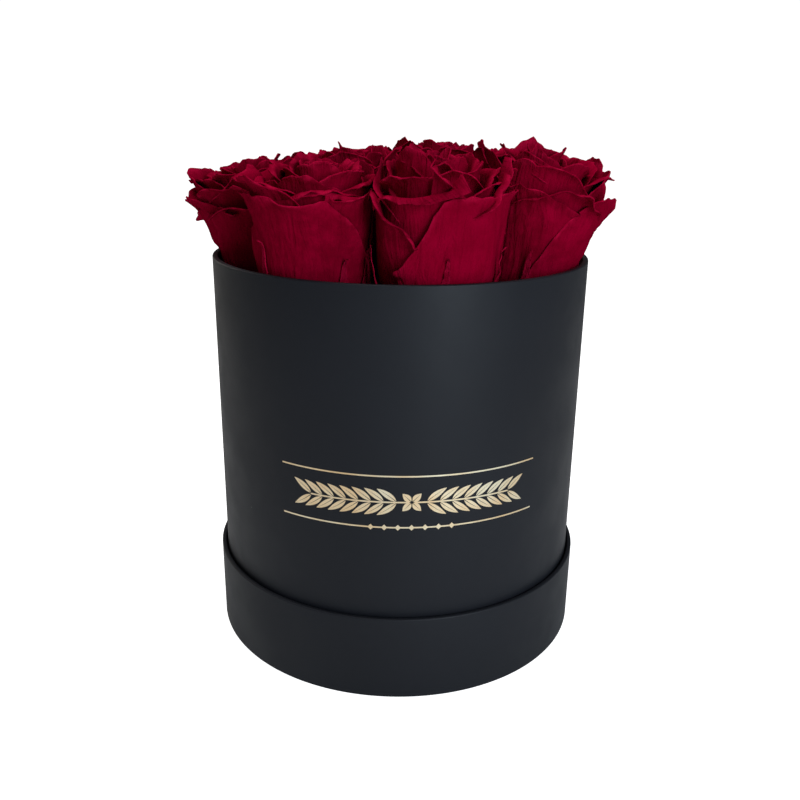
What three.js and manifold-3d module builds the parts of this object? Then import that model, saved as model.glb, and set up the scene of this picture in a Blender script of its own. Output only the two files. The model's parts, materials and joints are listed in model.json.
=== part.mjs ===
// Round flower box of wrapped greyboard, standing in its upturned lid and packed with nine
// preserved roses whose wired stems are pushed into dry floral foam.
// Millimetres, +Z up. The origin is the centre of the lid's outer face, which rests on the
// table, and the foil ornament is centred on -Y. Azimuths run from -Y towards +X.
import * as THREE from "three";
import { mergeVertices } from "three/addons/utils/BufferGeometryUtils.js";
import Module from "manifold-3d";

const wasm = await Module();
wasm.setup();

// Box and lid, outside sizes over the covering paper
const BOX_RADIUS = 80;
const RIM_HEIGHT = 167.6;
const LID_RADIUS = 82.6;
const LID_HEIGHT = 36.2;

// Sheet materials
const BOX_BOARD = 2;
const LID_BOARD = 1.5;
const PAPER = 0.15;
const GLUE = 0.05; // glue line, or the air between two faces that only rest together
const TURN_IN = 12; // how far the covering paper is folded round an edge
const LINER_BELOW_RIM = 6;

// Foam
const FOAM_RADIUS = 76.4;
const FOAM_TOP = 136;
const STEM_CLEARANCE = 0.3;

// Roses
const RING_ROSES = 7;
const RING_RADIUS = 53.6; // at the foot of the heads
const RING_START = 9.7; // azimuth of the first rose, degrees
const RING_LEAN = 9; // degrees outward
const INNER_OFFSETS = [19.4, -17.6]; // the two middle roses, along one line through the axis
const INNER_LEAN = 5;
const HEAD_FOOT = 153; // height of the foot of the heads
const HEAD_HEIGHT = 58;
const HEAD_RADIUS = 25.5; // at the lips of the outer petals
const INNER_OPENNESS = 1.14; // the middle roses open wider, into the space left beside them
const PETAL_GAP = 0.3; // from a head to the plane halfway to its neighbour
const CALYX_DEPTH = 12;
const CALYX_RADIUS = 7.5;
const SEPALS = 5;
const SEPAL = { length: 15, width: 6, thickness: 0.7, droop: 35 };
const STEM_RADIUS = 2.2;
const STEM_LENGTH = 50;
const STEM_POINT = 8;

// Foil on the front
const FOIL = 0.1;
const RULE = { halfLength: 52.7, width: 0.6, upper: 96, lower: 75 };
const LOZENGES = { count: 7, spacing: 5.2, side: 1.7 }; // strung on the lower rule
const SPRIG = { height: 85.5, halfLength: 42, stem: 0.6, first: 6, pairs: 8 };
const LEAF = { length: 8.8, width: 2.4, splay: 40 };
const ROSETTE = { leaves: 4, length: 5, width: 2.6 }; // at the middle of the sprig

const ROUND = 48; // facets round the box
const PETAL_FACETS = 20;
const STEM_FACETS = 10;

const rad = THREE.MathUtils.degToRad;
const material = (color, roughness, metalness = 0) =>
  new THREE.MeshStandardMaterial({ color, roughness, metalness });
const MATERIALS = {
  wrap: material(0x23272b, 0.62),
  liner: material(0x1b1c1e, 0.9),
  board: material(0x8d8479, 0.95),
  foil: material(0xd2a765, 0.3, 1),
  foam: material(0x6f7a5c, 0.98),
  petals: material(0x78001e, 0.7),
  calyx: material(0x3c4a26, 0.8),
  stem: material(0x5b4a2e, 0.85),
};

const group = new THREE.Group();

function addMesh(name, geometry, look, parent = group) {
  const mesh = new THREE.Mesh(geometry, look);
  mesh.name = name;
  parent.add(mesh);
  return mesh;
}

// A closed [radius, height] outline turned about Z. It runs anticlockwise, as the outside of a
// wall runs upward, and it starts and ends on the axis or closes on itself.
function revolve(outline, facets) {
  const points = outline.map(([r, z]) => new THREE.Vector2(r, z));
  const onAxis = outline[0][0] === 0 && outline.at(-1)[0] === 0;
  if (!onAxis) points.push(points[0].clone());
  return new THREE.LatheGeometry(points, facets).rotateX(Math.PI / 2);
}

const tube = (inner, outer, bottom, top) =>
  revolve([[inner, bottom], [outer, bottom], [outer, top], [inner, top]], ROUND);
const disc = (radius, bottom, top) =>
  revolve([[0, bottom], [radius, bottom], [radius, top], [0, top]], ROUND);

function toSolid(geometry) {
  const bare = geometry.index ? geometry.toNonIndexed() : geometry.clone();
  bare.deleteAttribute("normal");
  bare.deleteAttribute("uv");
  const merged = mergeVertices(bare, 1e-4);
  return new wasm.Manifold(
    new wasm.Mesh({
      numProp: 3,
      vertProperties: merged.attributes.position.array,
      triVerts: new Uint32Array(merged.index.array),
    }),
  );
}

function toGeometry(solid) {
  const mesh = solid.getMesh();
  const geometry = new THREE.BufferGeometry();
  geometry.setAttribute("position", new THREE.BufferAttribute(mesh.vertProperties, 3));
  geometry.setIndex(new THREE.BufferAttribute(mesh.triVerts, 1));
  geometry.computeVertexNormals();
  return geometry;
}

// The levels of one wrapped pot of board: a face paper below, the wrap's turned edge, the board
// disc inside its collar, and a floor paper on top of the disc.
function potLevels(bottom, board) {
  const turn = bottom + PAPER + GLUE;
  const boardBottom = turn + PAPER + GLUE;
  const boardTop = boardBottom + board;
  const floorTop = boardTop + GLUE + PAPER;
  return { bottom, turn, boardBottom, boardTop, floorTop };
}

// One wrapped pot: the shape of the box and, shorter and wider, of its lid.
function addPot(prefix, names, radius, top, board, bottom) {
  const level = potLevels(bottom, board);
  const collarOuter = radius - PAPER - GLUE;
  const collarInner = collarOuter - board;
  const turnOuter = collarInner - GLUE;
  const turnInner = turnOuter - PAPER;
  const liner = turnInner - GLUE;
  const turnEdge = collarOuter - TURN_IN;
  const wrap = [
    [turnEdge, level.turn],
    [radius, level.turn],
    [radius, top],
    [turnInner, top],
    [turnInner, top - TURN_IN],
    [turnOuter, top - TURN_IN],
    [turnOuter, top - PAPER],
    [radius - PAPER, top - PAPER],
    [radius - PAPER, level.turn + PAPER],
    [turnEdge, level.turn + PAPER],
  ];
  const boardTop = top - PAPER - GLUE;
  const face = radius - 1.5;
  addMesh(`${prefix}_${names.face}`, disc(face, level.bottom, level.bottom + PAPER), MATERIALS.wrap);
  addMesh(`${prefix}_wrap_paper`, revolve(wrap, ROUND), MATERIALS.wrap);
  addMesh(
    `${prefix}_board_${names.wall}`,
    tube(collarInner, collarOuter, level.boardBottom, boardTop),
    MATERIALS.board,
  );
  addMesh(
    `${prefix}_board_disc`,
    disc(collarInner - GLUE, level.boardBottom, level.boardTop),
    MATERIALS.board,
  );
  addMesh(
    `${prefix}_floor_paper`,
    disc(liner - PAPER - GLUE, level.boardTop + GLUE, level.floorTop),
    MATERIALS.liner,
  );
  addMesh(
    `${prefix}_liner_paper`,
    tube(liner - PAPER, liner, level.boardTop + GLUE, top - LINER_BELOW_RIM),
    MATERIALS.liner,
  );
  return level;
}

const lid = addPot("lid", { face: "face_paper", wall: "collar" }, LID_RADIUS, LID_HEIGHT, LID_BOARD, 0);
const box = addPot(
  "box",
  { face: "base_paper", wall: "tube" },
  BOX_RADIUS,
  RIM_HEIGHT,
  BOX_BOARD,
  lid.floorTop + GLUE,
);

// Where each rose stands: a group whose own +Z is the rose's axis, with its origin at the
// foot of the head.
function placeRose(azimuth, radius, lean) {
  const outward = new THREE.Vector3(Math.sin(rad(azimuth)), -Math.cos(rad(azimuth)), 0);
  const axis = outward.clone().multiplyScalar(Math.sin(rad(lean)));
  axis.z = Math.cos(rad(lean));
  const rose = new THREE.Group();
  rose.position.copy(outward).multiplyScalar(radius).setZ(HEAD_FOOT);
  rose.quaternion.setFromUnitVectors(new THREE.Vector3(0, 0, 1), axis);
  rose.updateMatrixWorld(true);
  return rose;
}

const ringStep = 360 / RING_ROSES;
const innerAzimuth = RING_START - 1.5 * ringStep; // halfway between two roses of the ring
const roses = [];
for (let i = 0; i < RING_ROSES; i += 1) {
  roses.push(placeRose(RING_START + i * ringStep, RING_RADIUS, RING_LEAN));
}
for (const offset of INNER_OFFSETS) {
  roses.push(placeRose(innerAzimuth, offset, Math.sign(offset) * INNER_LEAN));
}

// The head's own outline: a cup that opens towards its lips, under a low dome of petals.
function headSolid(rose, radius) {
  const along = (shares, steps) =>
    new THREE.SplineCurve(
      shares.map(([r, z]) => new THREE.Vector2(r * radius, z * HEAD_HEIGHT)),
    ).getPoints(steps);
  const cup = along([[0.3, 0.02], [0.76, 0.25], [0.87, 0.5], [1, 0.8]], 5);
  const dome = along([[0.94, 0.86], [0.55, 0.97], [0.1, 1]], 3);
  const outline = [[0, 0], ...[...cup, ...dome].map((p) => [p.x, p.y]), [0, HEAD_HEIGHT]];
  return toSolid(revolve(outline, PETAL_FACETS).applyMatrix4(rose.matrixWorld));
}

// Neighbouring heads press flat against each other: each is cut at the plane that lies halfway
// between the two axes, at their feet and at their lips.
function pressPlane(rose, other) {
  const foot = rose.position.clone().add(other.position).multiplyScalar(0.5);
  const lipOf = (r) => new THREE.Vector3(0, 0, HEAD_HEIGHT).applyMatrix4(r.matrixWorld);
  const lip = lipOf(rose).add(lipOf(other)).multiplyScalar(0.5);
  const across = lipOf(rose).sub(lipOf(other)).add(rose.position).sub(other.position).setZ(0);
  across.normalize();
  const slope = lip.clone().sub(foot);
  across.z = -across.dot(slope) / slope.z;
  across.normalize();
  return { normal: across, offset: across.dot(foot) + PETAL_GAP };
}

function addHead(name, rose, radius) {
  let head = headSolid(rose, radius);
  for (const other of roses) {
    if (other === rose) continue;
    const { normal, offset } = pressPlane(rose, other);
    head = head.trimByPlane(normal.toArray(), offset);
  }
  addMesh(name, toGeometry(head), MATERIALS.petals);
}

// A flat leaf outline along +X with its foot at the origin, as a thin closed slab.
function leafSlab(length, width, thickness, steps) {
  const slab = new THREE.BoxGeometry(1, 1, thickness, steps, 1, 1);
  const position = slab.attributes.position;
  const tip = 0.12; // the slab keeps this share of its width at both ends
  for (let i = 0; i < position.count; i += 1) {
    const along = position.getX(i) + 0.5;
    const taper = tip + (1 - tip) * Math.sin(Math.PI * along ** 0.8);
    position.setXYZ(i, along * length, position.getY(i) * width * taper, position.getZ(i));
  }
  return slab;
}

// The cup under the petals with its five sepals, one solid, in the rose's own frame.
function calyxGeometry() {
  const cup = revolve(
    [
      [0, -CALYX_DEPTH],
      [0.45 * CALYX_RADIUS, -CALYX_DEPTH],
      [0.5 * CALYX_RADIUS, -0.66 * CALYX_DEPTH],
      [0.95 * CALYX_RADIUS, -0.33 * CALYX_DEPTH],
      [CALYX_RADIUS, -PETAL_GAP],
      [0, -PETAL_GAP],
    ],
    STEM_FACETS,
  );
  let solid = toSolid(cup);
  for (let i = 0; i < SEPALS; i += 1) {
    const sepal = leafSlab(SEPAL.length, SEPAL.width, SEPAL.thickness, 4);
    sepal.rotateY(rad(SEPAL.droop));
    sepal.translate(0.7 * CALYX_RADIUS, 0, -0.2 * CALYX_DEPTH);
    sepal.rotateZ((2 * Math.PI * i) / SEPALS);
    solid = solid.add(toSolid(sepal));
  }
  return toGeometry(solid);
}

// A round stem cut to a point, in the rose's own frame.
function stemGeometry(clearance) {
  const top = -CALYX_DEPTH - PETAL_GAP + (clearance > 0 ? STEM_LENGTH : 0);
  const bottom = -CALYX_DEPTH - STEM_LENGTH - clearance;
  const radius = STEM_RADIUS + clearance;
  return revolve([[0, bottom], [radius, bottom + STEM_POINT], [radius, top], [0, top]], STEM_FACETS);
}

const calyx = calyxGeometry();
let foam = toSolid(disc(FOAM_RADIUS, box.floorTop + GLUE, FOAM_TOP));
roses.forEach((rose, i) => {
  const number = i + 1;
  const openness = i < RING_ROSES ? 1 : INNER_OPENNESS;
  addHead(`rose_head_${number}`, rose, openness * HEAD_RADIUS);
  addMesh(`rose_calyx_${number}`, calyx.clone(), MATERIALS.calyx, rose);
  addMesh(`rose_stem_${number}`, stemGeometry(0), MATERIALS.stem, rose);
  group.add(rose);
  foam = foam.subtract(toSolid(stemGeometry(STEM_CLEARANCE).applyMatrix4(rose.matrixWorld)));
});
addMesh("foam_block", toGeometry(foam), MATERIALS.foam);

// Bends a flat piece, drawn as x along the front, y up and z outward, round the box.
function bendRoundBox(geometry) {
  const position = geometry.attributes.position;
  const inner = BOX_RADIUS + GLUE;
  for (let i = 0; i < position.count; i += 1) {
    const angle = position.getX(i) / BOX_RADIUS;
    const r = inner + position.getZ(i);
    position.setXYZ(i, r * Math.sin(angle), -r * Math.cos(angle), position.getY(i));
  }
  return geometry;
}

// A straight foil strip, centred on the front, with its back face at z 0 before it is bent.
function foilStrip(halfLength, width, height) {
  const steps = Math.ceil(halfLength / 2.5);
  return new THREE.BoxGeometry(2 * halfLength, width, FOIL, steps, 1, 1).translate(0, height, FOIL / 2);
}

// Joins flat foil pieces that overlap into one piece, bent round the box.
function joinFoil(pieces) {
  const bent = pieces.map((piece) => toSolid(bendRoundBox(piece)));
  return toGeometry(bent.reduce((whole, piece) => whole.add(piece)));
}

// One stem with pairs of leaves that point away from the rosette at its middle.
function sprigPieces() {
  const pieces = [foilStrip(SPRIG.halfLength, SPRIG.stem, SPRIG.height)];
  const pitch = (SPRIG.halfLength - SPRIG.first) / (SPRIG.pairs - 0.5);
  const place = (leaf, turn, x) => leaf.rotateZ(turn).translate(x, SPRIG.height, FOIL / 2);
  for (let i = 0; i < SPRIG.pairs; i += 1) {
    const x = SPRIG.first + i * pitch;
    for (const turn of [-LEAF.splay, LEAF.splay]) {
      pieces.push(place(leafSlab(LEAF.length, LEAF.width, FOIL, 3), rad(turn), x));
      pieces.push(place(leafSlab(LEAF.length, LEAF.width, FOIL, 3), rad(180 + turn), -x));
    }
  }
  for (let i = 0; i < ROSETTE.leaves; i += 1) {
    const turn = rad(45 + (360 * i) / ROSETTE.leaves);
    pieces.push(place(leafSlab(ROSETTE.length, ROSETTE.width, FOIL, 3), turn, 0));
  }
  return pieces;
}

function addFoil() {
  const upper = foilStrip(RULE.halfLength, RULE.width, RULE.upper);
  addMesh("foil_rule_upper", bendRoundBox(upper), MATERIALS.foil);
  const lower = [foilStrip(RULE.halfLength, RULE.width, RULE.lower)];
  for (let i = 0; i < LOZENGES.count; i += 1) {
    const x = (i - (LOZENGES.count - 1) / 2) * LOZENGES.spacing;
    const lozenge = new THREE.BoxGeometry(LOZENGES.side, LOZENGES.side, FOIL).rotateZ(rad(45));
    lower.push(lozenge.translate(x, RULE.lower, FOIL / 2));
  }
  addMesh("foil_rule_lower", joinFoil(lower), MATERIALS.foil);
  addMesh("foil_sprig", joinFoil(sprigPieces()), MATERIALS.foil);
}
addFoil();

export default group;
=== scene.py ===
"""A round box of black paper in its upturned lid, filled with nine dark red preserved roses.

Everything is in metres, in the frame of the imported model: +Z up, the foil ornament on -Y, and
azimuths from -Y towards +X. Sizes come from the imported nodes; petals are built one by one.
"""

import json
import math

import bpy
import numpy as np
from mathutils import Matrix, Vector


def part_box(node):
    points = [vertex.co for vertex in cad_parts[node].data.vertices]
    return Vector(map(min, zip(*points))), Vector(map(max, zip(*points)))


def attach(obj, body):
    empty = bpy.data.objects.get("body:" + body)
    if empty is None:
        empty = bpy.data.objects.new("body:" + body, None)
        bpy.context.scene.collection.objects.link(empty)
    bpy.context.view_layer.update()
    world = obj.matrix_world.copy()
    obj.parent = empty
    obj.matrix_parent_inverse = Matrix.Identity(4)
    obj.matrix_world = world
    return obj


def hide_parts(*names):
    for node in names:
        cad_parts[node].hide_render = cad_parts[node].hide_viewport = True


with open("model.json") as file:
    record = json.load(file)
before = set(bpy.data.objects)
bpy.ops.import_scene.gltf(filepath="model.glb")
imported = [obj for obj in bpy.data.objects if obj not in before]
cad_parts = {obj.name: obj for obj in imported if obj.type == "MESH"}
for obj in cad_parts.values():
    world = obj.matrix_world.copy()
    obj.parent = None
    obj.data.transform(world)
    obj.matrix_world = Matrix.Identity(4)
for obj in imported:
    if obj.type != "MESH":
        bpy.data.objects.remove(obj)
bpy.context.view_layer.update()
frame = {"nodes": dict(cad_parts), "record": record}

MM = 0.001

# ---------------------------------------------------------------- camera

CAMERA_AZIMUTH = -3.95  # degrees
CAMERA_DISTANCE = 0.3696  # from the box's axis, level
CAMERA_HEIGHT = 0.2221
CAMERA_PITCH = 18.35  # degrees down
CAMERA_YAW = 0.1
CAMERA_ROLL = 0.77
CAMERA_LENS = 38.1  # mm on a 36 mm sensor


def add_camera():
    """The camera stands a little left of the ornament's middle and looks down into the lid."""
    data = bpy.data.cameras.new("camera")
    data.sensor_width = 36
    data.lens = CAMERA_LENS
    data.clip_start, data.clip_end = 0.01, 20
    camera = bpy.data.objects.new("camera", data)
    bpy.context.scene.collection.objects.link(camera)
    azimuth = math.radians(CAMERA_AZIMUTH)
    place = Vector((math.sin(azimuth), -math.cos(azimuth), 0)) * CAMERA_DISTANCE
    place.z = CAMERA_HEIGHT
    turn = Matrix.Rotation(azimuth - math.radians(CAMERA_YAW), 4, "Z")
    tilt = Matrix.Rotation(math.radians(90 - CAMERA_PITCH), 4, "X")
    roll = Matrix.Rotation(math.radians(CAMERA_ROLL), 4, "Z")
    camera.matrix_world = Matrix.Translation(place) @ turn @ tilt @ roll
    bpy.context.scene.camera = camera


# ---------------------------------------------------------------- materials


class Nodes:
    """A material's node tree, with short calls for the nodes that the finishes use."""

    def __init__(self, name, **sockets):
        self.material = bpy.data.materials.new(name)
        self.material.use_nodes = True
        self.tree = self.material.node_tree
        self.shader = self.tree.nodes["Principled BSDF"]
        for socket, value in sockets.items():
            self.shader.inputs[socket.replace("_", " ")].default_value = value
        self.place = self.tree.nodes.new("ShaderNodeTexCoord").outputs["Object"]

    def add(self, kind, **settings):
        node = self.tree.nodes.new("ShaderNode" + kind)
        for key, value in settings.items():
            setattr(node, key, value)
        return node

    def put(self, value, target):
        """Links a socket to an input, or sets the input to a plain value."""
        if isinstance(value, bpy.types.NodeSocket):
            self.tree.links.new(value, target)
        else:
            target.default_value = value

    def feed(self, node, **inputs):
        """Links or sets the node's inputs, and returns the node."""
        for socket, value in inputs.items():
            self.put(value, node.inputs[socket.replace("_", " ")])
        return node

    def noise(self, scale, detail=3, roughness=0.5, stretch=None, distortion=0, place=None):
        """Noise of 0 to 1; scale is in waves per metre, and stretch scales the three axes."""
        vector = place or self.place
        if stretch:
            mapping = self.feed(self.add("Mapping"), Vector=vector, Scale=stretch)
            vector = mapping.outputs["Vector"]
        node = self.feed(
            self.add("TexNoise"),
            Vector=vector,
            Scale=scale,
            Detail=detail,
            Roughness=roughness,
            Distortion=distortion,
        )
        return node.outputs["Fac"]

    def span(self, value, low, high, out_low=0.0, out_high=1.0):
        """Maps low to high onto out_low to out_high, smoothly."""
        node = self.feed(
            self.add("MapRange", interpolation_type="SMOOTHSTEP"),
            Value=value,
            From_Min=low,
            From_Max=high,
            To_Min=out_low,
            To_Max=out_high,
        )
        return node.outputs["Result"]

    def math(self, operation, first, second=0.0):
        node = self.add("Math", operation=operation)
        for socket, value in zip(node.inputs, (first, second)):
            self.put(value, socket)
        return node.outputs["Value"]

    def blend(self, factor, first, second):
        node = self.add("Mix", data_type="RGBA")
        sockets = [socket for socket in node.inputs if socket.enabled]
        for socket, value in zip(sockets, (factor, first, second)):
            self.put(value, socket)
        return next(socket for socket in node.outputs if socket.enabled)

    def attribute(self, name):
        return self.add("Attribute", attribute_name=name).outputs["Fac"]

    def color(self, socket):
        self.tree.links.new(socket, self.shader.inputs["Base Color"])

    def rough(self, socket):
        self.tree.links.new(socket, self.shader.inputs["Roughness"])

    def bump(self, *layers):
        """Layers are (height, strength, distance in metres), the coarsest first."""
        normal = None
        for height, strength, distance in layers:
            node = self.feed(self.add("Bump"), Height=height, Strength=strength, Distance=distance)
            if normal:
                self.tree.links.new(normal, node.inputs["Normal"])
            normal = node.outputs["Normal"]
        self.tree.links.new(normal, self.shader.inputs["Normal"])


DUST_CELLS = 95.0  # places per metre where a speck may lie
DUST_SIZE = 0.032  # of a speck, as a share of its cell
DUST_SPARED = 0.94  # share of the cells without one
DUST_STRENGTH = 0.55


def black_paper():
    """Soft-touch laminated paper: near black, satin, with fine grain and a few specks of dust."""
    n = Nodes("black_paper", Roughness=0.5, Specular_IOR_Level=0.22)
    cloud = n.span(n.noise(14, 3), 0.3, 0.7)
    tone = n.blend(cloud, (0.0098, 0.0107, 0.0143, 1), (0.0118, 0.0129, 0.0171, 1))
    cell = n.feed(n.add("TexVoronoi", feature="F1"), Vector=n.place, Scale=DUST_CELLS)
    near = n.math("LESS_THAN", cell.outputs["Distance"], DUST_SIZE)
    draw = n.feed(n.add("SeparateColor"), Color=cell.outputs["Color"]).outputs["Red"]
    chosen = n.math("GREATER_THAN", draw, DUST_SPARED)
    dust = n.math("MULTIPLY", n.math("MULTIPLY", near, chosen), DUST_STRENGTH)
    n.color(n.blend(dust, tone, (0.13, 0.13, 0.135, 1)))
    grain = n.noise(2600, 2)
    n.rough(n.span(n.noise(55, 4), 0.25, 0.8, 0.46, 0.56))
    n.bump((n.noise(9, 2), 0.08, 0.001), (grain, 0.06, 0.00008))
    return n.material


def lining_paper():
    """Uncoated black paper, with short fibres."""
    n = Nodes("lining_paper", Roughness=0.85, Specular_IOR_Level=0.25)
    fibre = n.noise(900, 4, 0.6, stretch=(1, 1, 0.3))
    n.color(n.blend(n.span(fibre, 0.3, 0.75), (0.009, 0.009, 0.0095, 1), (0.02, 0.02, 0.021, 1)))
    n.bump((fibre, 0.25, 0.0001))
    return n.material


def greyboard():
    """Raw recycled board, grey with darker fibres and pale flecks."""
    n = Nodes("greyboard", Roughness=0.95, Specular_IOR_Level=0.2)
    fibre = n.noise(1100, 5, 0.65, stretch=(1, 1, 3))
    base = n.blend(n.span(fibre, 0.3, 0.7), (0.17, 0.15, 0.125, 1), (0.29, 0.265, 0.23, 1))
    flecks = n.span(n.noise(2300, 2), 0.66, 0.72)
    n.color(n.blend(flecks, base, (0.42, 0.4, 0.36, 1)))
    n.bump((fibre, 0.5, 0.0002))
    return n.material


def gold_foil():
    """Hot-stamped foil: pale gold with the slight unevenness of a pressed film."""
    n = Nodes("gold_foil", Metallic=1.0)
    wave = n.noise(60, 3)
    n.color(n.blend(n.span(wave, 0.3, 0.7), (0.97, 0.7, 0.4, 1), (1.0, 0.9, 0.66, 1)))
    n.rough(n.span(n.noise(340, 3), 0.3, 0.7, 0.33, 0.45))
    n.bump((n.noise(1500, 2), 0.12, 0.00005))
    return n.material


def dry_foam():
    """Dry floral foam: grey-green, crumbly, open cells under half a millimetre."""
    n = Nodes("foam", Roughness=1.0, Specular_IOR_Level=0.1)
    specks = n.feed(n.add("TexVoronoi", feature="F1"), Vector=n.place, Scale=1500.0)
    cells = specks.outputs["Distance"]
    cloud = n.noise(120, 4)
    tone = n.blend(n.span(cloud, 0.3, 0.7), (0.05, 0.065, 0.035, 1), (0.085, 0.1, 0.06, 1))
    n.color(n.blend(n.span(cells, 0.1, 0.6), tone, (0.03, 0.037, 0.022, 1)))
    n.bump((cloud, 0.6, 0.001), (cells, 0.7, 0.0004))
    return n.material


def petals():
    """Preserved petals: deep crimson and velvety, with a painted highlight of paler pink along the
    margins, where light catches the thin lips.
    """
    n = Nodes(
        "petals",
        Specular_IOR_Level=0.0,
        Sheen_Weight=0.025,
        Sheen_Roughness=0.35,
        Sheen_Tint=(0.8, 0.01, 0.12, 1),
    )
    # the margin attribute is nearness to a petal's edge, and sets where the painted highlight shows
    margin = n.attribute("margin")
    tone = n.attribute("tone")
    blotch = n.noise(130, 4, 0.6)
    deep = n.blend(tone, (0.16, 0.0002, 0.0098, 1), (0.25, 0.0002, 0.0157, 1))
    mottled = n.blend(n.span(blotch, 0.32, 0.72), deep, (0.29, 0.0003, 0.02, 1))
    across = n.add("Attribute", attribute_name="across").outputs["Vector"]
    veins = n.noise(1.0, 4, 0.6, stretch=(1.6, 0.06, 7.0), place=across)
    mottled = n.blend(n.span(veins, 0.35, 0.7, 0.0, 0.2), mottled, (0.13, 0.0002, 0.009, 1))
    # painted highlight: patches of paler pink along the margins, standing in for light caught on the
    # thin rolled lips
    painted_highlight = n.math("MULTIPLY", margin, n.span(n.noise(260, 2), 0.35, 0.65, 0.1, 0.8))
    n.color(n.blend(painted_highlight, mottled, (0.43, 0.004, 0.036, 1)))
    n.rough(n.span(blotch, 0.3, 0.7, 0.6, 0.74))
    crease = n.noise(420, 4, 0.65)
    folds = n.noise(1.0, 3, 0.55, stretch=(0.55, 0.05, 7.0), distortion=0.8, place=across)
    n.bump(
        (folds, 0.75, 0.002),
        (crease, 0.4, 0.0008),
        (veins, 0.55, 0.0008),
        (n.noise(2200, 3), 0.25, 0.00015),
    )
    return n.material


def sepals():
    """Preserved green sepals, dull and slightly brown."""
    n = Nodes("sepals", Roughness=0.75, Specular_IOR_Level=0.3)
    n.color(n.blend(n.noise(180, 4), (0.022, 0.036, 0.012, 1), (0.06, 0.065, 0.028, 1)))
    n.bump((n.noise(700, 3), 0.4, 0.0003))
    return n.material


def stem():
    """A dry stem, ribbed lengthwise."""
    n = Nodes("stem", Roughness=0.8, Specular_IOR_Level=0.25)
    ribs = n.noise(900, 3, 0.5, stretch=(1, 1, 0.08))
    n.color(n.blend(n.span(ribs, 0.3, 0.7), (0.045, 0.038, 0.018, 1), (0.11, 0.085, 0.045, 1)))
    n.bump((ribs, 0.5, 0.0004))
    return n.material


def seen_brighter(tree, shader, extra):
    """Adds plain white light to the stage where the camera sees it directly, and lights nothing."""
    path = tree.nodes.new("ShaderNodeLightPath")
    strength = tree.nodes.new("ShaderNodeMath")
    strength.operation = "MULTIPLY"
    strength.inputs[1].default_value = extra
    tree.links.new(path.outputs["Is Camera Ray"], strength.inputs[0])
    tree.links.new(strength.outputs["Value"], shader.inputs["Emission Strength"])


def backdrop_white():
    """The plain pale floor."""
    n = Nodes("backdrop", Roughness=0.9, Specular_IOR_Level=0.1, Emission_Color=(1, 1, 1, 1))
    n.color(n.blend(n.noise(3, 2), (0.8, 0.8, 0.8, 1), (0.82, 0.82, 0.82, 1)))
    seen_brighter(n.tree, n.shader, 1.0)
    return n.material


MATERIALS = {
    "black_paper": black_paper(),
    "lining_paper": lining_paper(),
    "greyboard": greyboard(),
    "gold_foil": gold_foil(),
    "foam": dry_foam(),
    "petals": petals(),
    "sepals": sepals(),
    "stem": stem(),
}


# ---------------------------------------------------------------- meshes


def add_piece(name, points, faces, slot, body, *nodes, sharp=None):
    """A new object that rides on a body, wears a slot's material and stands for CAD nodes."""
    mesh = bpy.data.meshes.new(name)
    mesh.from_pydata(np.asarray(points).tolist(), [], np.asarray(faces).tolist())
    mesh.validate()
    mesh.update()
    mesh.materials.append(MATERIALS[slot])
    mesh.shade_smooth()
    if sharp:
        mesh.set_sharp_from_angle(angle=math.radians(sharp))
    piece = bpy.data.objects.new(name, mesh)
    bpy.context.scene.collection.objects.link(piece)
    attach(piece, body)
    if nodes:
        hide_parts(*nodes)
    return piece


def corner(centre, radius, start, stop, steps=5):
    """Points of an arc in the (radius, height) plane, between two angles in degrees."""
    angles = np.radians(np.linspace(start, stop, steps))
    return [(centre[0] + radius * math.cos(a), centre[1] + radius * math.sin(a)) for a in angles]


def turned(outline, segments, shift=None):
    """A closed outline of (radius, height) turned about Z: points and quads.

    shift(angles, radii), if given, returns a change of radius, for a seam.
    """
    outline = np.array(outline)
    angles = np.linspace(0, 2 * math.pi, segments, endpoint=False)
    radii = np.repeat(outline[None, :, 0], segments, axis=0)
    heights = np.repeat(outline[None, :, 1], segments, axis=0)
    if shift:
        radii = radii + shift(angles[:, None], radii)
    across, ahead = np.sin(angles)[:, None], -np.cos(angles)[:, None]
    points = np.stack([radii * across, radii * ahead, heights], -1)
    rows, columns = len(outline), segments
    index = np.arange(rows * columns).reshape(columns, rows)
    following = np.roll(index, -1, axis=0)
    faces = np.stack([index, following, np.roll(following, -1, 1), np.roll(index, -1, 1)], -1)
    return points.reshape(-1, 3), faces.reshape(-1, 4)


# ---------------------------------------------------------------- box and lid

ROUND = 288  # segments round the box
RIM_ROUNDING = 0.55 * MM
FOOT_ROUNDING = 0.6 * MM
SEAM_AZIMUTH = 172  # degrees; where the covering paper starts and ends, at the back
SEAM_WIDTH = 6  # degrees of overlap
SEAM_STEP = 0.12 * MM
SEAM_EDGE = 0.06  # degrees over which the overlapping sheet's edge drops
SEAM_FADE = 0.5  # degrees over which its other end, under the sheet, evens out
DISC_CENTRE = 0.02 * MM  # where a turned disc closes at its middle


def ring_of(node):
    """A round node's inner and outer radius, and its bottom and top."""
    points = np.array([v.co for v in frame["nodes"][node].data.vertices])
    radii = np.hypot(points[:, 0], points[:, 1])
    low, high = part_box(node)
    return radii.min(), radii.max(), low.z, high.z


def paper_seam(outer):
    """The covering paper's overlap: a strip at the back that stands one paper proud."""

    def shift(angles, radii):
        degrees = np.degrees(angles)
        rise = np.clip((degrees - SEAM_AZIMUTH) / SEAM_EDGE, 0, 1)
        fall = np.clip((SEAM_AZIMUTH + SEAM_WIDTH - degrees) / SEAM_FADE, 0, 1)
        outside = radii > outer - 0.02 * MM
        return SEAM_STEP * rise * fall * outside

    return shift


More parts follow.
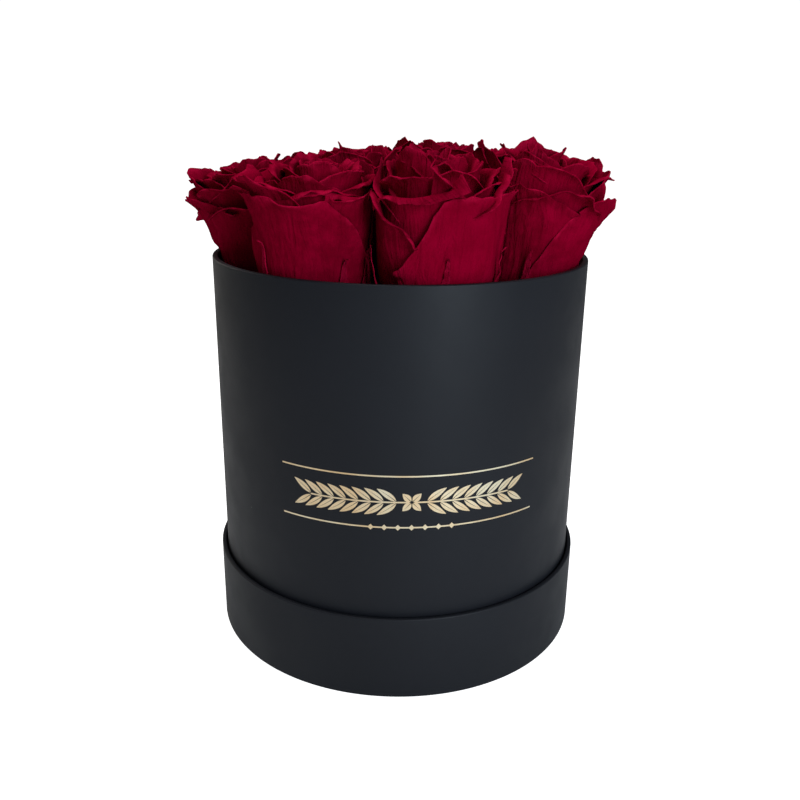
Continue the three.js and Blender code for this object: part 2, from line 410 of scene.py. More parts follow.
def add_wrap(node, body):
    """The covering paper: round the wall, over the rim and down inside, and under the base."""
    inner, outer, bottom, top = ring_of(node)
    points = np.array([v.co for v in frame["nodes"][node].data.vertices])
    radii = np.hypot(points[:, 0], points[:, 1])
    low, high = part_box(f"{body}_floor_paper")
    paper = high.z - low.z
    turned_in = radii[points[:, 2] > top - 0.01 * MM].min()  # its face inside the wall
    inside = (radii < outer - 1.2 * MM) & (points[:, 2] > top - 50 * MM)
    depth = top - points[inside, 2].min()  # how far it is turned in
    rim, foot = RIM_ROUNDING, FOOT_ROUNDING
    skin = (
        [(inner, bottom)]
        + corner((outer - foot, bottom + foot), foot, -90, 0)
        + corner((outer - rim, top - rim), rim, 0, 90, 7)
        + corner((turned_in + rim, top - rim), rim, 90, 180, 7)
        + [(turned_in, top - depth)]
    )
    back = (
        [(turned_in + paper, top - depth)]
        + corner((turned_in + rim, top - rim), rim - paper, 180, 90, 7)
        + corner((outer - rim, top - rim), rim - paper, 90, 0, 7)
        + corner((outer - foot, bottom + foot), foot - paper, 0, -90)
        + [(inner, bottom + paper)]
    )
    points, faces = turned(skin + back, ROUND, paper_seam(outer))
    add_piece(f"{body}_covering_paper", points, faces, "black_paper", body, node, sharp=50)


def add_ring(node, name, slot, body, rounding):
    """A plain ring or disc of board or paper, with its edges just broken."""
    inner, outer, bottom, top = ring_of(node)
    r = rounding
    outside = corner((outer - r, bottom + r), r, -90, 0, 3)
    outside += corner((outer - r, top - r), r, 0, 90, 3)
    if inner < 1 * MM:
        outline = [(DISC_CENTRE, bottom)] + outside + [(DISC_CENTRE, top)]
    else:
        outline = corner((inner + r, bottom + r), r, 180, 270, 3) + outside
        outline += corner((inner + r, top - r), r, 90, 180, 3)
    points, faces = turned(outline, ROUND)
    add_piece(name, points, faces, slot, body, node, sharp=40)


def add_box_and_lid():
    """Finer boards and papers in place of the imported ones."""
    for body, wall in (("lid", "collar"), ("box", "tube")):
        face = {"lid": "face", "box": "base"}[body]
        add_wrap(f"{body}_wrap_paper", body)
        add_ring(f"{body}_{face}_paper", f"{body}_{face}_disc", "black_paper", body, 0.05 * MM)
        add_ring(f"{body}_liner_paper", f"{body}_lining", "lining_paper", body, 0.05 * MM)
        add_ring(f"{body}_floor_paper", f"{body}_floor_disc", "lining_paper", body, 0.05 * MM)
        add_ring(f"{body}_board_{wall}", f"{body}_board_wall", "greyboard", body, 0.4 * MM)
        add_ring(f"{body}_board_disc", f"{body}_board_round", "greyboard", body, 0.3 * MM)


# ---------------------------------------------------------------- roses

ROSES = 9
PETALS = 28  # in each rose
GOLDEN = 137.5  # degrees from one petal to the next
FIRST_SEED = 100
THICKNESS = 0.42 * MM
PRESS_DEPTH = 4.0 * MM  # petals nearer the next rose than this are flattened against it
WALL_DEPTH = 2 * MM  # and those nearer the box's wall than this
WALL_GAP = 0.3 * MM
FREE_BELOW, FREE_ABOVE = 1 * MM, 4 * MM  # the wall's hold fades over this height at the rim
OUTER_RADIUS = 21.6  # mm, of the cup that the outermost petals form, at the rim's level
HEART_RADIUS = 2.4  # mm, of the innermost petals
CROWDED_LIFT = 7  # how much higher the lips stand on a rose's inner side than on its outer side

# one petal, in mm
PETAL_FOOT = 1.5  # its start above the head's foot
FOOT_SLOPE = 8  # degrees above level at its start
CUP_TURN = 80  # degrees that it bends up from there
JAG = 0.3  # the margin's small teeth
BITE = 0.8  # its larger waves
CUSP_WIDTH = 3.5  # of the point at its top
RUFFLE_REACH = 4.0  # how far the ruffles reach in from the margin
MARGIN_HIGHLIGHT_REACH = 0.8  # how far the painted highlight along the margin reaches in
SPIRAL = 0.45  # how far a petal's right side lies outside its left side, each half turn
FOLD, BOW = 0.7, 0.8  # the depth of the short and long waves that a rose's petals share
LARGE_RADIUS = 10
LARGE_GRID, SMALL_GRID = (30, 45), (24, 33)  # rows and columns of points

# each rose's lip and top above its foot, how far it leans out of the box and sideways, how much its
# outer side spreads and how much it swells to fill the box; the free ones lean out further
ROSE_SHAPES = [
    {"lip": 43, "top": 57.5, "lean": (3, 1), "spread": 0.08, "fill": 0.12, "twist": 19},
    {"lip": 46, "top": 59, "lean": (8, 0), "spread": 0.08, "fill": 0.1, "twist": -65},
    {"lip": 45, "top": 56.0, "lean": (6, 0), "spread": 0.12, "fill": 0.14, "twist": 40},
    {"lip": 45, "top": 57.0, "lean": (6, 0), "spread": 0.12, "fill": 0.14, "twist": 110},
    {"lip": 42, "top": 53.5, "lean": (6, 0), "spread": 0.12, "fill": 0.14, "twist": 200},
    {"lip": 43, "top": 52.0, "lean": (11, 0), "spread": 0.12, "fill": 0.1, "twist": 89},
    {"lip": 45, "top": 54, "lean": (3, 6), "spread": 0.14, "fill": 0.08, "twist": 37},
    {"lip": 47, "top": 57.0, "lean": (4, 0), "spread": 0.05, "fill": 0.24, "twist": 15},
    {"lip": 48, "top": 59.0, "lean": (2, 0), "spread": 0.05, "fill": 0.3, "twist": 75},
]


def smooth(value, low, high):
    t = np.clip((value - low) / (high - low), 0, 1)
    return t * t * (3 - 2 * t)


def ripple(rng, shortest, longest, count=7, creased=False):
    """A random function of a place, from about -1 to 1, of waves between two lengths in mm.

    Creased waves have straight flanks and sharp tops, and run mostly up and down.
    """
    length = np.exp(rng.uniform(math.log(shortest), math.log(longest), count))
    way = rng.normal(size=(count, 3)) * (1, 1, 0.4 if creased else 1)
    way /= np.linalg.norm(way, axis=1, keepdims=True)
    start = rng.uniform(0, 2 * math.pi, count)

    def at(x, y, z=0.0):
        total = 0.0
        for k, (a, b, c), begin in zip(2 * math.pi / length, way, start):
            wave = np.cos(k * (x * a + y * b + z * c) + begin)
            total = total + (np.arcsin(0.97 * wave) / 1.3 if creased else wave)
        return math.sqrt(2 / count) * total

    return at


def rounded(place, corners, blur=0.06):
    """The height at a place on a line through corners (place, height), its turns rounded off."""
    places, heights = zip(*corners)
    shifts = np.linspace(-blur, blur, 7)
    return np.mean([np.interp(place + shift, places, heights) for shift in shifts], axis=0)


def area_under(values, places):
    """The area under values over places, by trapezoids."""
    return float(((values[1:] + values[:-1]) / 2 * np.diff(places)).sum())


def meridian(radius, height, lean, start_radius, start_height):
    """A petal's line from its foot up the cup, at every 0.25 mm: length, radius, height, slope.

    The slope is the angle above level, in radians; lean is how far the top leans outward.
    """
    share = np.linspace(0, 1, 60)
    bend = np.radians(FOOT_SLOPE + CUP_TURN * smooth(share, 0.05, 1.0))
    reach = area_under(np.cos(bend), share)
    turn_length = max(radius - start_radius, 0.5) / reach
    step = 0.25
    length = np.arange(0, turn_length + height + 20, step)
    slope = np.radians(FOOT_SLOPE + CUP_TURN * smooth(length / turn_length, 0.05, 1.0))
    rise_first = start_height + area_under(np.sin(bend), share) * turn_length
    above = np.clip((length - turn_length) / max(height - rise_first, 5), 0, 1)
    slope = slope - math.radians(lean) * above
    r = start_radius + np.concatenate([[0], np.cumsum(np.cos(slope[:-1]) * step)])
    z = start_height + np.concatenate([[0], np.cumsum(np.sin(slope[:-1]) * step)])
    full = np.interp(height, z, length)
    return length, r, z, slope, full


def top_line(petal, u, full):
    """How far up the flat petal reaches at each place across it, in mm."""
    if "edge" in petal:
        return full * rounded(u, petal["edge"])
    fall = np.where(u < 0, petal["left"], petal["right"])
    return full * (1 - fall * np.abs(u) ** petal["power"])


def half_width(petal, y, full):
    """Half the flat petal's width at each height: it is narrow at the foot."""
    return petal["width"] * (0.3 + 0.7 * smooth(y / full, 0.0, petal["taper"]))


def margin_line(petal, full):
    """The flat petal's smooth margin, up its left side and down its right, and its normals."""
    across = np.linspace(-1, 1, 121)
    top = top_line(petal, across, full)
    flanks = []
    for side in (-1.0, 1.0):
        up = np.linspace(0.3, 0.97, 24) * top_line(petal, side, full)
        flanks.append(np.stack([side * half_width(petal, up, full), up], -1))
    edge = np.stack([across * half_width(petal, top, full), top], -1)
    edge = np.concatenate([flanks[0], edge, flanks[1][::-1]])
    along = np.gradient(edge, axis=0)
    normal = np.stack([-along[:, 1], along[:, 0]], -1)
    return edge, normal / np.linalg.norm(normal, axis=1, keepdims=True)


def roll_lip(rng, petal, full, cusp_place, flat):
    """Rolls the flat petal's margin outward; the side margins stay flat.

    Returns where the points come to lie, how far they stand off the petal, and how far they were
    from the margin.
    """
    edge, normal = margin_line(petal, full)
    gap = flat[:, None, :] - edge[None, :, :]
    nearest = (gap**2).sum(-1).argmin(1)
    outward = normal[nearest]
    distance = -(np.take_along_axis(gap, nearest[:, None, None], 1)[:, 0] * outward).sum(-1)

    swing = ripple(rng, 16, 44, 5)
    turn = math.radians(petal["curl"]) * (1 + 0.35 * swing(edge[:, 0], edge[:, 1]))
    turn = turn * smooth(normal[:, 1], 0.1, 0.75) * smooth(edge[:, 1], 0.3 * full, 0.6 * full)
    from_cusp = (edge[:, 0] / petal["width"] - cusp_place) / 0.12
    turn = (turn * (1 - 0.4 * np.exp(-(from_cusp**2))))[nearest]
    wide = petal["roll"] * (1 + 0.3 * ripple(rng, 12, 34, 4)(edge[:, 0], edge[:, 1]))[nearest]
    depth = np.maximum(wide - distance, 0)
    inside = np.minimum(depth, wide)
    nodes = (np.arange(12) + 0.5) / 12
    bend = turn[:, None] * (inside[:, None] * nodes / wide[:, None]) ** 1.3
    across = inside * np.cos(bend).mean(1) + (depth - inside) * np.cos(turn)
    proud = inside * np.sin(bend).mean(1) + (depth - inside) * np.sin(turn)
    return flat + outward * (across - depth)[:, None], proud, distance


def petal_grid(rng, petal, rows, columns):
    """One petal's middle surface as a grid of points in mm, foot first, its nearness to the margin,
    and each point's place on the flat petal.

    The petal is laid out flat, its margin is rolled outward, and it is bent round the cup.
    petal holds azimuth, radius, height, width (half), lean, left and right (how far the margin
    falls at each side, as shares of the length), power (how squarely), taper (the share of the
    length over which it widens), tip, roll (the rolled margin's width), curl (its angle), open (how
    far the side margins stand off) and ruffle; edge, if given, is the margin itself, as (share
    across, share of the length) from the left. Its tone, and pale, the strength of the painted
    highlight along its margin, are used by add_rose.
    """
    radius, width = petal["radius"], petal["width"]
    line = meridian(radius, petal["height"], petal["lean"], min(4.0, 0.6 * radius), PETAL_FOOT)
    length, line_r, line_z, slope, full = line

    # the flat petal, with its points closer together towards the margin
    share = np.linspace(-1, 1, columns)
    u = 1.35 * share - 0.35 * share**3
    v = 1 - (1 - np.linspace(0, 1, rows)) ** 1.6
    jag = ripple(rng, 2.0, 6.0)
    bite = ripple(rng, 7.0, 18.0, 4, creased=True)
    cusp_place = rng.uniform(-0.3, 0.3)
    top = top_line(petal, u, full)
    top = top + petal["tip"] * np.exp(-np.abs(u - cusp_place) * width / CUSP_WIDTH)
    top = top + JAG * jag(u * width, 0.0) + BITE * bite(u * width, 0.0)
    y = v[:, None] * top[None, :]
    x = u[None, :] * half_width(petal, y, full)
    flat = np.stack([x, y], -1).reshape(-1, 2)

    # the rolled lip, and ruffles along the margin
    flat, proud, distance = roll_lip(rng, petal, full, cusp_place, flat)
    distance = np.maximum(distance, 0)
    up = smooth(flat[:, 1] / full, 0.15, 0.7)
    ruffle = petal["ruffle"] * np.exp(-distance / RUFFLE_REACH) * up
    proud = proud + ruffle * ripple(rng, 3.0, 9.0, 9)(*flat.T)

    # round the cup
    y = flat[:, 1]
    r, z, a = (np.interp(y, length, values) for values in (line_r, line_z, slope))
    side = flat[:, 0] / width
    wrap = flat[:, 0] / np.maximum(np.interp(y, length, line_r), 0.55 * radius)
    off = proud + petal["open"] * np.abs(side) ** 3 * up
    r = np.maximum(r + off * np.sin(a) + SPIRAL * wrap / math.pi * up, 0.3)
    z = z - proud * np.cos(a)
    phi = math.radians(petal["azimuth"]) + wrap
    points = np.stack([r * np.cos(phi), r * np.sin(phi), z], -1)
    # nearness to the margin, which sets where the painted highlight along it shows
    rim = np.exp(-distance / MARGIN_HIGHLIGHT_REACH)
    place = np.stack([np.broadcast_to(12 * u, (rows, columns)), y.reshape(rows, columns)], -1)
    return points.reshape(rows, columns, 3), rim, place.reshape(-1, 2)


def shell(grid, thickness):
    """A closed shell round a grid of points: both faces and the edge that joins them."""
    rows, columns = grid.shape[:2]
    normal = np.cross(np.gradient(grid, axis=0), np.gradient(grid, axis=1))
    normal /= np.maximum(np.linalg.norm(normal, axis=-1, keepdims=True), 1e-12)
    faces = [(grid + side * normal * thickness / 2).reshape(-1, 3) for side in (1, -1)]
    index = np.arange(rows * columns).reshape(rows, columns)
    corners = [index[:-1, :-1], index[:-1, 1:], index[1:, 1:], index[1:, :-1]]
    face = np.stack(corners, -1).reshape(-1, 4)
    other = face[:, ::-1] + rows * columns
    border = np.concatenate([index[0, :-1], index[:-1, -1], index[-1, :0:-1], index[:0:-1, 0]])
    following = np.roll(border, -1)
    rim = np.stack([border, following, following + rows * columns, border + rows * columns], -1)
    return np.concatenate(faces), np.concatenate([face[:, ::-1], other[:, ::-1], rim])


def rose_frame(number):
    """A rose's foot on its stem, and its axis and outward and sideways directions."""
    points = np.array([v.co for v in frame["nodes"][f"rose_stem_{number + 1}"].data.vertices])
    tip = points[points[:, 2].argmin()]
    reach = np.linalg.norm(points - tip, axis=1)
    stem_axis = points[reach > 0.95 * reach.max()].mean(0) - tip
    stem_axis /= np.linalg.norm(stem_axis)
    foot = tip + stem_axis * (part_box(f"rose_head_{number + 1}")[0].z - tip[2]) / stem_axis[2]
    outward = np.array([foot[0], foot[1], 0.0]) / math.hypot(foot[0], foot[1])
    sideways = np.cross((0, 0, 1), outward)
    lean_out, lean_side = (math.tan(math.radians(lean)) for lean in ROSE_SHAPES[number]["lean"])
    axis = outward * lean_out + sideways * lean_side + np.array([0, 0, 1.0])
    axis /= np.linalg.norm(axis)
    outward = outward - axis * (outward @ axis)
    outward /= np.linalg.norm(outward)
    return foot, axis, outward, np.cross(axis, outward)


ROSE_FRAMES = [rose_frame(number) for number in range(ROSES)]
HEAD_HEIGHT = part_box("rose_head_1")[1].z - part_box("rose_head_1")[0].z
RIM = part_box("box_wrap_paper")[1].z
INSIDE = ring_of("box_liner_paper")[0] - WALL_GAP


def soft_limit(distance, depth):
    """Keeps distances above depth, and eases smaller ones towards zero without crossing it."""
    return np.where(distance > depth, distance, depth * np.exp(np.minimum(distance / depth - 1, 0)))


def press(points, number):
    """Flattens a rose's petals against the roses beside it and, below the rim, the box's wall."""
    foot, axis = ROSE_FRAMES[number][:2]
    for other, (other_foot, other_axis, *_) in enumerate(ROSE_FRAMES):
        if other == number:
            continue
        low = (foot + other_foot) / 2
        lip, other_lip = foot + axis * HEAD_HEIGHT, other_foot + other_axis * HEAD_HEIGHT
        high = (lip + other_lip) / 2
        across = (lip - other_lip) + (foot - other_foot)
        across[2] = 0
        across /= np.linalg.norm(across)
        slope = high - low
        across[2] = -across @ slope / slope[2]
        across /= np.linalg.norm(across)
        distance = (points - low) @ across
        points = points + (soft_limit(distance, PRESS_DEPTH) - distance)[:, None] * across
    radius = np.hypot(points[:, 0], points[:, 1])
    limited = INSIDE - soft_limit(INSIDE - radius, WALL_DEPTH)
    share = 1 - smooth(points[:, 2], RIM - FREE_BELOW, RIM + FREE_ABOVE)
    scale = 1 + share * (limited / np.maximum(radius, 1e-6) - 1)
    points[:, :2] *= scale[:, None]
    return points


def common_petal(rng, number, i):
    """A petal by its place in the rose: the first is the outermost and broadest."""
    shape = ROSE_SHAPES[number]
    age = i / (PETALS - 1)
    young = 1 - age
    rise = math.sin(math.pi / 2 * age**0.8) - 0.12 * age**8
    azimuth = shape["twist"] + i * GOLDEN + rng.uniform(-12, 12)
    lip = shape["lip"] + CROWDED_LIFT * (1 - math.cos(math.radians(azimuth))) / 2
    return {
        "azimuth": azimuth,
        "radius": HEART_RADIUS + (OUTER_RADIUS - HEART_RADIUS) * young**1.15,
        "height": lip + (shape["top"] - lip) * rise + rng.uniform(-1.2, 1.2),
        "width": 26 * young + 8 * age,
        "lean": 11 * young**0.7 - 6 * age**3,
        "left": (0.3 * young + 0.12 * age) * rng.uniform(0.5, 1.5),
        "right": (0.3 * young + 0.12 * age) * rng.uniform(0.5, 1.5),
        "power": rng.uniform(2.2, 3.4) * young + rng.uniform(1.3, 1.9) * age,
        "taper": 0.5,
        "tip": rng.uniform(0.5, 3.0),
        "roll": 4.6 * young**2 + 2.4,
        "curl": (130 * young**1.5 + 25) * rng.uniform(0.6, 1.2),
        "open": 0.9 if i == 0 else 0.15,
        "ruffle": 0.27,
    }


# the outer petals that are seen from the front, from the outermost in; azimuths are from the
# direction that the front is seen from, and values that aren't given are the common ones; a tone
# of 0 is the deepest red and 1 the lightest
FRONT = {0: -15.9, 1: -73.0, 5: 97.4, 6: 43.5}  # that direction in each front rose, in degrees
FRONT_PETALS = {
    0: [
        dict(
            azimuth=35, width=27, height=46, lean=0, curl=25, tip=0.5, tone=0.85,
            edge=[
                (-1, 0.46), (-0.71, 0.72), (-0.57, 0.87), (-0.5, 0.98),
                (0, 1.0), (0.5, 1.02), (1, 1.0),
            ],
        ),
        dict(
            azimuth=-60, width=18, height=49, left=0.12, right=0.36, power=1.6,
            lean=7, roll=6.5, curl=120, tone=0.1,
        ),
        dict(azimuth=165, width=26),
        dict(
            azimuth=-40, width=22, height=55, lean=7, roll=7, curl=170, tip=0.5,
            edge=[(-1, 0.8), (-0.4, 0.86), (0.3, 0.9), (0.7, 0.95), (1, 1.0)],
        ),
        dict(
            azimuth=36, width=16, height=58, lean=4, curl=110, tip=0.5,
            edge=[(-1, 1.0), (-0.45, 0.84), (0, 0.78), (0.35, 0.8), (0.75, 0.93), (1, 1.03)],
        ),
        dict(azimuth=82, width=20, height=54, left=0.3, right=0.3, curl=100, tip=3),
        dict(azimuth=-88, width=18, height=53, left=0.3, right=0.3, curl=80, tip=3),
        dict(
            azimuth=-42, radius=13, width=15, height=60, left=0.3, right=0.3, power=2,
            lean=0, curl=10, tip=1, tone=0.9,
        ),
    ],
    1: [
        dict(
            azimuth=58, width=25, height=48, lean=5.5, curl=25, tip=0.5, tone=0.4,
            edge=[
                (-1, 0.2), (-0.65, 0.62), (-0.3, 0.9), (0.1, 1.0),
                (0.4, 0.95), (0.65, 0.8), (1, 0.6),
            ],
        ),
        dict(
            azimuth=-30, width=27, height=49, curl=70, tip=0.5, tone=0.2,
            edge=[(-1, 1.08), (-0.55, 1.2), (-0.3, 1.08), (0, 0.98), (0.4, 0.97), (1, 0.85)],
        ),
        dict(azimuth=165, width=26, height=54),
        dict(azimuth=28, width=20, height=49, left=0.15, right=0.5, power=3, lean=6, curl=110),
        dict(azimuth=-75, width=22, height=58, left=0.35, curl=30, tip=3),
        dict(azimuth=100, width=20, height=53, lean=2, curl=10, tip=1),
        dict(azimuth=0, height=56, curl=60),
        dict(azimuth=-168, width=13, height=60, power=1.1, curl=20, tip=3),
        dict(azimuth=130, width=15, height=57, power=1.2, curl=20, tip=3),
    ],
    5: [
        dict(
            azimuth=10, width=26, height=38.5, curl=70, tip=0.5, tone=1,
            edge=[(-1, 0.97), (-0.3, 1.0), (0.3, 0.99), (1, 0.9)],
        ),
        dict(azimuth=-85, width=25, height=42, left=0.1, right=0.15, lean=8, curl=35, tip=1),
        dict(azimuth=150, width=26),
        dict(azimuth=-35, width=24, height=46, lean=6, curl=60),
        dict(azimuth=65, width=22, height=50, curl=100),
        dict(azimuth=-110, width=18, height=53, lean=1, curl=20, tip=2),
    ],
    6: [
        dict(
            azimuth=-15, width=27, height=46, lean=8, curl=40, tip=0.5,
            edge=[
                (-1, 0.97), (-0.6, 1.0), (0, 0.98), (0.38, 1.0),
                (0.56, 0.88), (0.86, 0.67), (1, 0.6),
            ],
        ),
        dict(
            azimuth=62, width=23, height=48.5, curl=60, tip=1,
            edge=[(-1, 1.0), (0.3, 0.98), (0.6, 0.9), (1, 0.8)],
        ),
        dict(azimuth=170, width=26),
        dict(
            azimuth=-62, width=25, height=51, curl=60,
            edge=[(-1, 0.9), (-0.5, 0.97), (0.3, 1.0), (0.7, 0.96), (1, 0.8)],
        ),
        dict(azimuth=100, width=20, height=52, curl=80, tip=3),
        dict(azimuth=-95, width=20, height=51, curl=60, tip=3),
        dict(azimuth=8, width=21, height=50, left=0.05, right=0.05, curl=120),
    ],
}

GUARDS = 4  # small withered petals low on each rose
FRONT_GUARDS = {  # those that are seen from the front; they stand a little off the cup
    0: [
        dict(azimuth=10, radius=22.6, width=2, height=25, lean=3, curl=90),
        dict(azimuth=-64, radius=24.5, width=3, height=25, lean=3),
        dict(azimuth=68, radius=24, width=2, height=26, lean=5),
    ],
    1: [
        dict(azimuth=2, radius=23, width=1.6, height=25, lean=9, curl=90),
    ],
    6: [
        dict(azimuth=-57, radius=23, width=1.8, height=27, lean=9, curl=90),
        dict(azimuth=25, radius=22.6, width=2.6, height=24, lean=6, curl=90),
        dict(azimuth=60, radius=25.5, width=4, height=37, lean=4),
        dict(azimuth=52, radius=24, width=2.5, height=26, lean=7),
    ],
}


def guard_petal(rng, number):
    """A narrow withered petal that lies against the cup and reaches just above the rim."""
    petal = common_petal(rng, number, 0)
    petal.update(
        azimuth=rng.uniform(-180, 180),
        radius=OUTER_RADIUS + 0.7,
        height=rng.uniform(18, 29),
        width=rng.uniform(3.5, 7),
        lean=rng.uniform(4, 9),
        left=0.5,
        right=0.5,
        power=1.2,
        tip=2.5,
        roll=1.5,
        curl=60,
        open=-0.8,
        # pale=3 triples the painted highlight along the margin, so the whole narrow guard is painted
        # pale, as a lit strip
        pale=3,
    )
    return petal


def rose_petals(rng, number):
    """All petals of a rose, the outermost first."""
    guards = [guard_petal(rng, number) for _ in range(GUARDS)]
    petals = [common_petal(rng, number, i) for i in range(PETALS)]
    for guard, values in zip(guards, FRONT_GUARDS.get(number, [])):
        # tone=1, the lightest red, adds to the painted highlight, so these guards show as lit pale
        # strips
        guard.update(values, open=0, tone=1)
        guard["azimuth"] += FRONT[number]
    for petal, values in zip(petals, FRONT_PETALS.get(number, [])):
        petal.update(values)
        petal["azimuth"] += FRONT[number]
    return guards + petals


def add_rose(number):
    """One rose as one object: closed petals with common folds, clear of the roses beside it."""
    rng = np.random.default_rng(FIRST_SEED + number)
    foot, axis, outward, sideways = ROSE_FRAMES[number]
    fold = ripple(rng, 12, 30, 7, creased=True)
    bow = ripple(rng, 30, 60, 4)
    all_points, all_faces, margins, tones, places = [], [], [], [], []
    start = 0
    for petal in rose_petals(rng, number):
        rows, columns = LARGE_GRID if petal["radius"] > LARGE_RADIUS else SMALL_GRID
        grid, near, place = petal_grid(rng, petal, rows, columns)
        x, y, z = grid[..., 0], grid[..., 1], grid[..., 2]
        reach = np.hypot(x, y)
        push = FOLD * fold(x, y, z) + BOW * bow(x, y, z)
        push = push * reach / OUTER_RADIUS * smooth(z, 8, 30)
        fill = 1 + ROSE_SHAPES[number]["fill"] * (0.4 + 0.6 * smooth(z, 10, 45))
        spread = 1 + ROSE_SHAPES[number]["spread"] * smooth(x, -6, 16) * smooth(z, 14, 50)
        scale = fill * (1 + push / np.maximum(reach, 1))
        grid[..., 0] = x * scale * spread
        grid[..., 1] = y * scale
        points, faces = shell(grid * MM, THICKNESS)
        all_points.append(points)
        all_faces.append(faces + start)
        start += len(points)
        # nearness to the margin, for the painted highlight along it, made stronger on petals whose
        # pale value is above 1
        margins.append(np.tile(near.ravel() * petal.get("pale", 1), 2))
        drawn = rng.uniform(0, 1)
        tone = petal.get("tone", drawn)
        tones.append(np.full(len(points), tone))
        places.append(np.tile(np.column_stack([place, np.full(len(place), tone)]), (2, 1)))
    local = np.concatenate(all_points)
    world = foot + local[:, :1] * outward + local[:, 1:2] * sideways + local[:, 2:] * axis
    piece = add_piece(
        f"rose_{number + 1}_petals",
        press(world, number),
        np.concatenate(all_faces),
        "petals",
        "box",
        f"rose_head_{number + 1}",
    )
    for name, values in (("margin", margins), ("tone", tones)):
        layer = piece.data.attributes.new(name, "FLOAT", "POINT")
        layer.data.foreach_set("value", np.concatenate(values).astype(np.float32))
    layer = piece.data.attributes.new("across", "FLOAT_VECTOR", "POINT")
    layer.data.foreach_set("vector", np.concatenate(places).astype(np.float32).ravel())


# ---------------------------------------------------------------- foil

PAPER_RADIUS = ring_of("box_wrap_paper")[1]
FOIL_LIFT = 0.045 * MM  # of the film's middle above the paper
FOIL_FILM = 0.06 * MM
RULE_STEPS, STEM_STEPS = 90, 50
LEAF_PAIRS = 8  # on each side of the sprig
FIRST_PAIR = 6 * MM
STEM_START = 0.9 * MM  # from the sprig's middle
LEAF = {"length": 8.8 * MM, "width": 2.5 * MM, "splay": 40}
ROSETTE = {"leaves": 4, "length": 5 * MM, "width": 2.7 * MM, "start": 0.5 * MM}
VEIN = 0.26 * MM  # the bare line along the middle of a leaf
LOZENGES = {"count": 7, "spacing": 5.2 * MM, "side": 1.7 * MM, "rise": 0.02 * MM}


def on_paper(along, height, lift=FOIL_LIFT):
    """Points on the box's face, from a distance along it to the middle's right and a height."""
    radius = PAPER_RADIUS + lift
    turn = along / PAPER_RADIUS
    return np.stack([radius * np.sin(turn), -radius * np.cos(turn), height + 0 * along], -1)


def strip(left, right, height, width, count):
    """A rule with round ends, as a grid of points on the box's face."""
    turn = np.linspace(0, math.pi / 2, 5)
    half = width / 2
    start = left + half * (1 - np.cos(turn))
    middle = np.linspace(left + half, right - half, count)[1:-1]
    along = np.concatenate([start, middle, right - half * (1 - np.sin(turn))])
    inset = np.minimum(np.minimum(along - left, right - along), half)
    wide = np.sqrt(np.maximum(half**2 - (half - inset) ** 2, (0.1 * half) ** 2))
    across = np.array([-1.0, -0.4, 0.4, 1.0])
    return on_paper(along[:, None] + 0 * across, height + wide[:, None] * across)


def leaf_halves(root, height, turn, length, width, bend):
    """A leaf's two halves as grids of points, with a bare vein between them; bend curls its tip."""
    share = np.linspace(0, 1, 22)
    course = np.radians(turn + bend * share)
    step = length / (len(share) - 1)
    x = root + np.concatenate([[0], np.cumsum(np.cos(course[:-1]) * step)])
    y = height + np.concatenate([[0], np.cumsum(np.sin(course[:-1]) * step)])
    wide = width / 2 * np.sin(math.pi * share**0.8) ** 0.85
    bare = VEIN / 2 * (1 - share)
    halves = []
    for side in (-1, 1):
        blade = np.maximum(wide - bare, 0.02 * MM)
        off = side * (bare[:, None] + blade[:, None] * np.linspace(0, 1, 5))
        along = x[:, None] - np.sin(course)[:, None] * off
        up = y[:, None] + np.cos(course)[:, None] * off
        halves.append(on_paper(along, up)[:, ::side])
    return halves


def add_foil_piece(name, node, grids):
    """One stamped piece: each grid becomes a thin closed film that faces outward."""
    all_points, all_faces = [], []
    start = 0
    for grid in grids:
        points, faces = shell(grid, FOIL_FILM)
        all_points.append(points)
        all_faces.append(faces + start)
        start += len(points)
    points, faces = np.concatenate(all_points), np.concatenate(all_faces)
    add_piece(name, points, faces, "gold_foil", "box", node, sharp=40)


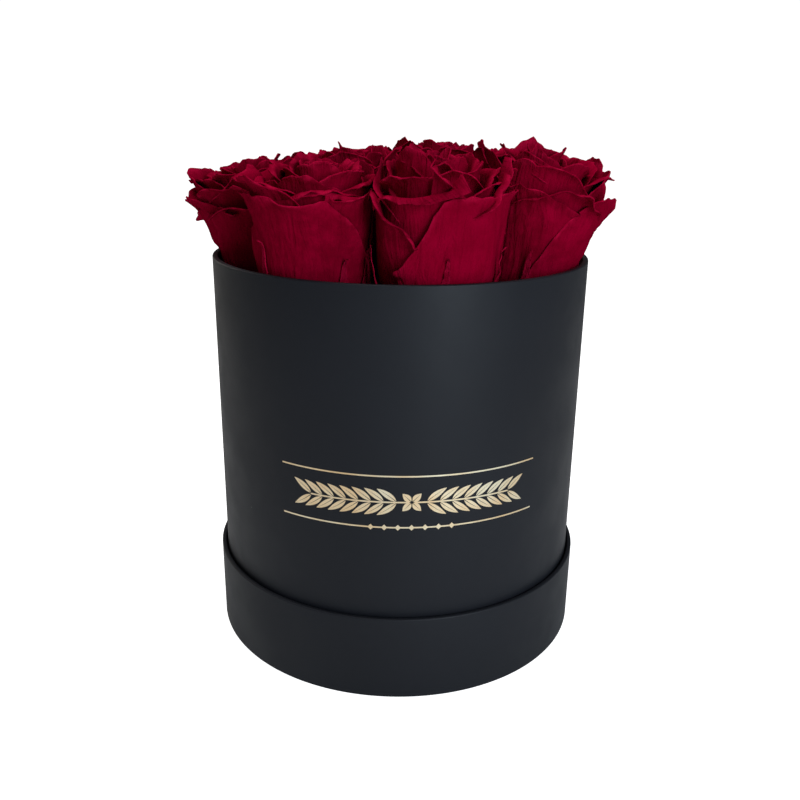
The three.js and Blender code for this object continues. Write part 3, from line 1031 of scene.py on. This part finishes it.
def add_foil():
    """The two rules and the sprig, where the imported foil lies, with lozenges on the lower rule."""
    middles = {}
    for node in ("foil_rule_upper", "foil_sprig", "foil_rule_lower"):
        low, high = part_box(node)
        reach = PAPER_RADIUS * math.asin(min(high.x / (PAPER_RADIUS + FOIL_LIFT), 1))
        middles[node] = (reach, (low.z + high.z) / 2, high.z - low.z)
    reach, height, width = middles["foil_rule_upper"]
    upper = strip(-reach, reach, height, width, RULE_STEPS)
    add_foil_piece("foil_upper_rule", "foil_rule_upper", [upper])

    reach, height, _ = middles["foil_rule_lower"]
    grids = [strip(-reach, reach, height, width, RULE_STEPS)]
    corner_out = LOZENGES["side"] / math.sqrt(2)
    for i in range(LOZENGES["count"]):
        middle = (i - (LOZENGES["count"] - 1) / 2) * LOZENGES["spacing"]
        share = np.linspace(-1, 1, 9)
        wide = np.maximum(1 - np.abs(share), 0.03) * corner_out
        across = np.linspace(-1, 1, 5)
        along = middle + corner_out * share[:, None] + 0 * across
        lift = FOIL_LIFT + LOZENGES["rise"]
        grids.append(on_paper(along, height + wide[:, None] * across, lift))
    add_foil_piece("foil_lower_rule", "foil_rule_lower", grids)

    reach, height, _ = middles["foil_sprig"]
    far_leaf = LEAF["length"] * math.cos(math.radians(LEAF["splay"]))
    pitch = (reach - far_leaf - FIRST_PAIR) / (LEAF_PAIRS - 1)
    grids = [
        strip(STEM_START, reach - far_leaf, height, width, STEM_STEPS),
        strip(far_leaf - reach, -STEM_START, height, width, STEM_STEPS),
    ]
    for i in range(LEAF_PAIRS):
        root = FIRST_PAIR + i * pitch
        for way in (-1, 1):
            for turn in (0, 180):
                splay = LEAF["splay"] * way * (1 if turn == 0 else -1)
                start = (root if turn == 0 else -root, height + way * 0.75 * width)
                bend = -0.3 * splay
                grids += leaf_halves(*start, turn + splay, LEAF["length"], LEAF["width"], bend)
    for i in range(ROSETTE["leaves"]):
        turn = 45 + 360 * i / ROSETTE["leaves"]
        out = ROSETTE["start"]
        root = (out * math.cos(math.radians(turn)), height + out * math.sin(math.radians(turn)))
        grids += leaf_halves(*root, turn, ROSETTE["length"] - out, ROSETTE["width"], 0)
    add_foil_piece("foil_leaf_sprig", "foil_sprig", grids)


# ---------------------------------------------------------------- stage

AMBIENT = 0.11  # the studio's light from all sides
BACKDROP = 1.05  # how bright the surroundings look
FLOOR_HALF = 6
FLOOR_GAP = 0.2 * MM  # the floor lies this far below the lid


def add_light(name, place, target, size, power, color=(1, 1, 1)):
    """A soft box of some size in metres and power in watts."""
    data = bpy.data.lights.new(name, "AREA")
    data.shape = "RECTANGLE"
    data.size, data.size_y = size
    data.energy = power
    data.color = color
    lamp = bpy.data.objects.new(name, data)
    bpy.context.scene.collection.objects.link(lamp)
    lamp.location = place
    way = Vector(target) - Vector(place)
    lamp.rotation_mode = "QUATERNION"
    lamp.rotation_quaternion = way.to_track_quat("-Z", "Y")


def add_stage():
    """A pale floor, even light from all sides, and three soft boxes."""
    floor = bpy.data.meshes.new("floor")
    corners = [(x * FLOOR_HALF, y * FLOOR_HALF, 0) for x, y in ((-1, -1), (1, -1), (1, 1), (-1, 1))]
    floor.from_pydata(corners, [], [(0, 1, 2, 3)])
    floor.materials.append(backdrop_white())
    plane = bpy.data.objects.new("floor", floor)
    bpy.context.scene.collection.objects.link(plane)
    plane.location.z = -FLOOR_GAP
    world = bpy.data.worlds.new("studio")
    bpy.context.scene.world = world
    world.use_nodes = True
    tree = world.node_tree
    background = tree.nodes["Background"]
    background.inputs["Color"].default_value = (1, 1, 1, 1)
    path = tree.nodes.new("ShaderNodeLightPath")
    strength = tree.nodes.new("ShaderNodeMapRange")
    strength.inputs["To Min"].default_value = AMBIENT
    strength.inputs["To Max"].default_value = BACKDROP
    tree.links.new(path.outputs["Is Camera Ray"], strength.inputs["Value"])
    tree.links.new(strength.outputs["Result"], background.inputs["Strength"])
    add_light("key", (0.5, -1.05, 0.5), (0, 0, 0.12), (0.5, 0.9), 10, (0.78, 0.9, 1.0))
    add_light("top", (-0.1, 0.1, 1.3), (0, 0, 0.15), (0.9, 0.9), 9)
    add_light("fill", (-0.8, 0.8, 0.5), (0, 0, 0.12), (0.5, 0.7), 1.4, (1.0, 0.9, 0.78))
    bpy.context.scene.view_settings.view_transform = "Standard"


# ---------------------------------------------------------------- assembly


def finish_cad_nodes():
    """Gives every CAD node its slot's procedural material, also where a finer piece replaces it."""
    slots = {row["node"]: row["material_slot"] for row in frame["record"]["subparts"]}
    for name, node in frame["nodes"].items():
        node.data.materials.clear()
        node.data.materials.append(MATERIALS[slots[name]])


add_camera()
finish_cad_nodes()
add_box_and_lid()
add_foil()
for rose in range(ROSES):
    add_rose(rose)
add_stage()
